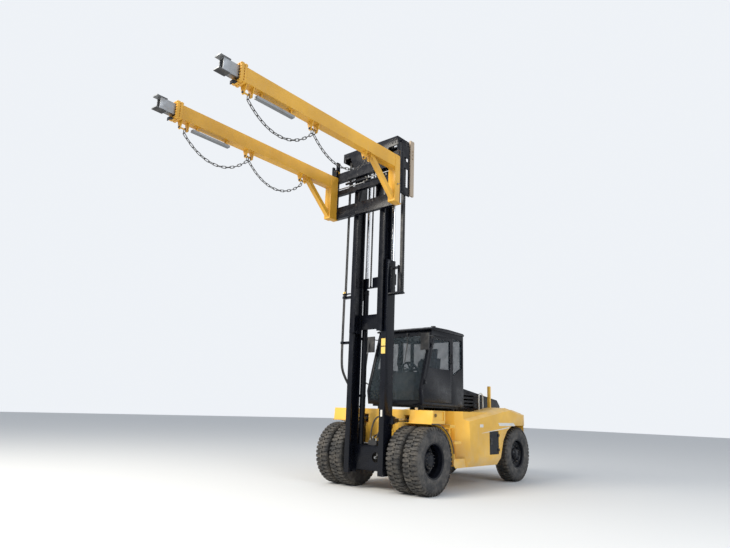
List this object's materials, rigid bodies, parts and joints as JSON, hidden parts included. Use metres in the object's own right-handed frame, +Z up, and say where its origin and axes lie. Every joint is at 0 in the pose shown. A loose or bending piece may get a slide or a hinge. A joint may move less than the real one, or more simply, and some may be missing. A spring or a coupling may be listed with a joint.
{
  "type": "heavy forklift truck",
  "caption": "Heavy counterbalance forklift truck: raised telescoping mast, carriage with long chain-slung telescopic lifting arms, dual drive wheels and rear steering",
  "frame": {"origin": "middle of the bounding box, on the ground", "axes": "+X forward along the arms, +Y to the driver's left, +Z up"},
  "size_m": [9.765, 2.517, 6.96],
  "materials": {
    "yellow": "semi-gloss machine yellow with dust in the corners",
    "black": "satin black paint",
    "ochre": "semi-gloss orange-yellow paint, worn at the edges",
    "pale_steel": "bare drawn steel",
    "chain_steel": "galvanised chain, dulled",
    "rod_chrome": "polished cylinder rod",
    "tyre": "black rubber with pale dust in the tread",
    "rubber": "matt black rubber hose",
    "plastic": "matt black plastic",
    "beige": "pale sand-coloured hose sleeve",
    "fabric": "dark woven seat cover",
    "glass": "faintly blue tinted safety glass",
    "cast": "cast housing painted satin black"
  },
  "bodies": {
    "chassis": {"frame": "yellow", "counterweight": "yellow", "side_body_left": "yellow", "side_body_right": "yellow", "front_fenders": "yellow", "steps": "yellow", "axles": "cast", "engine": "cast", "cab_frame": "black", "cab_roof": "black", "cab_floor": "black", "cab_glass": "glass", "seat": "fabric", "controls": "plastic", "lamps_and_mirrors": "plastic"},
    "hood": {"hood": "black"},
    "box_door": {"box_door": "black"},
    "outer_mast": {"outer_mast": "black", "lift_barrels": "black", "lower_hoses": "rubber"},
    "inner_mast": {"inner_mast": "black", "head_pulleys": "pale_steel", "lift_rods": "rod_chrome", "rear_chains": "chain_steel", "front_chains": "chain_steel", "hose_strip": "beige", "energy_chain": "plastic", "upper_hoses": "rubber"},
    "carriage": {"carriage": "black"},
    "tilt_barrels": {"tilt_barrels": "black"},
    "tilt_rods": {"tilt_rods": "rod_chrome"},
    "drive_wheel_left": {"drive_tyres_left": "tyre", "drive_rims_left": "black"},
    "knuckle_left": {"knuckle_left": "cast"},
    "steer_wheel_left": {"steer_tyre_left": "tyre", "steer_rim_left": "black"},
    "cab_door_left": {"cab_door_left": "black", "door_glass_left": "glass"},
    "arm_left": {"arm_left": "ochre", "arm_fittings_left": "pale_steel", "chains_left": "chain_steel"},
    "tube_left": {"tube_left": "pale_steel"},
    "drive_wheel_right": {"drive_tyres_right": "tyre", "drive_rims_right": "black"},
    "knuckle_right": {"knuckle_right": "cast"},
    "steer_wheel_right": {"steer_tyre_right": "tyre", "steer_rim_right": "black"},
    "cab_door_right": {"cab_door_right": "black", "door_glass_right": "glass"},
    "arm_right": {"arm_right": "ochre", "arm_fittings_right": "pale_steel", "chains_right": "chain_steel"},
    "tube_right": {"tube_right": "pale_steel"}
  },
  "joints": [
    {"name": "mast_tilt", "type": "hinge", "parent": "chassis", "child": "outer_mast", "pos_m": [0.0675, 0, 0.52], "axis": [0, 1, 0], "range_deg": [-10, 5]},
    {"name": "tilt_cylinder_swing", "type": "hinge", "parent": "chassis", "child": "tilt_barrels", "pos_m": [-1.0625, 0, 1.32], "axis": [0, 1, 0], "range_deg": [-1, 1]},
    {"name": "tilt_cylinder_stroke", "type": "slide", "parent": "tilt_barrels", "child": "tilt_rods", "axis": [0.9999, 0, -0.0171], "range_m": [-0.14, 0.07]},
    {"name": "mast_lift", "type": "slide", "parent": "outer_mast", "child": "inner_mast", "axis": [0, 0, 1], "range_m": [-2.65, 0], "deforming": ["rear_chains", "energy_chain", "upper_hoses"]},
    {"name": "carriage_lift", "type": "slide", "parent": "inner_mast", "child": "carriage", "axis": [0, 0, 1], "range_m": [-2.65, 0], "deforming": ["front_chains"]},
    {"name": "hood_hinge", "type": "hinge", "parent": "chassis", "child": "hood", "pos_m": [-4.1675, 0, 1.64], "axis": [0, -1, 0], "range_deg": [0, 50]},
    {"name": "box_door_hinge", "type": "hinge", "parent": "chassis", "child": "box_door", "pos_m": [-2.6025, 1.259, 0.892], "axis": [0, 0, 1], "range_deg": [0, 90]},
    {"name": "drive_wheel_left_spin", "type": "hinge", "parent": "chassis", "child": "drive_wheel_left", "pos_m": [-0.1825, 0.901, 0.606], "axis": [0, 1, 0], "continuous": true},
    {"name": "steering_left", "type": "hinge", "parent": "chassis", "child": "knuckle_left", "pos_m": [-3.8465, 0.66, 0.606], "axis": [0, 0, 1], "range_deg": [-60, 60]},
    {"name": "steer_wheel_left_spin", "type": "hinge", "parent": "knuckle_left", "child": "steer_wheel_left", "pos_m": [-3.8465, 0.921, 0.606], "axis": [0, 1, 0], "continuous": true},
    {"name": "cab_door_left_hinge", "type": "hinge", "parent": "chassis", "child": "cab_door_left", "pos_m": [-0.70203, 0.715, 2.4], "axis": [0.2782, 0, -0.9605], "range_deg": [0, 75]},
    {"name": "arm_left_shift", "type": "slide", "parent": "carriage", "child": "arm_left", "axis": [0, 1, 0], "range_m": [-0.48, 0]},
    {"name": "tube_left_slide", "type": "slide", "parent": "arm_left", "child": "tube_left", "axis": [1, 0, 0], "range_m": [-0.23, 0.75]},
    {"name": "drive_wheel_right_spin", "type": "hinge", "parent": "chassis", "child": "drive_wheel_right", "pos_m": [-0.1825, -0.901, 0.606], "axis": [0, 1, 0], "continuous": true},
    {"name": "steering_right", "type": "hinge", "parent": "chassis", "child": "knuckle_right", "pos_m": [-3.8465, -0.66, 0.606], "axis": [0, 0, 1], "range_deg": [-60, 60]},
    {"name": "steer_wheel_right_spin", "type": "hinge", "parent": "knuckle_right", "child": "steer_wheel_right", "pos_m": [-3.8465, -0.921, 0.606], "axis": [0, 1, 0], "continuous": true},
    {"name": "cab_door_right_hinge", "type": "hinge", "parent": "chassis", "child": "cab_door_right", "pos_m": [-0.70203, -0.715, 2.4], "axis": [-0.2782, 0, 0.9605], "range_deg": [0, 75]},
    {"name": "arm_right_shift", "type": "slide", "parent": "carriage", "child": "arm_right", "axis": [0, 1, 0], "range_m": [0, 0.48]},
    {"name": "tube_right_slide", "type": "slide", "parent": "arm_right", "child": "tube_right", "axis": [1, 0, 0], "range_m": [-0.23, 0.75]}
  ],
  "couplings": [
    {"joint": "tilt_cylinder_swing", "follows": "mast_tilt", "ratio": -0.01},
    {"joint": "tilt_cylinder_stroke", "follows": "mast_tilt", "m_per_rad": 0.7786},
    {"joint": "carriage_lift", "follows": "mast_lift", "ratio": 1},
    {"joint": "steering_right", "follows": "steering_left", "ratio": 1}
  ]
}
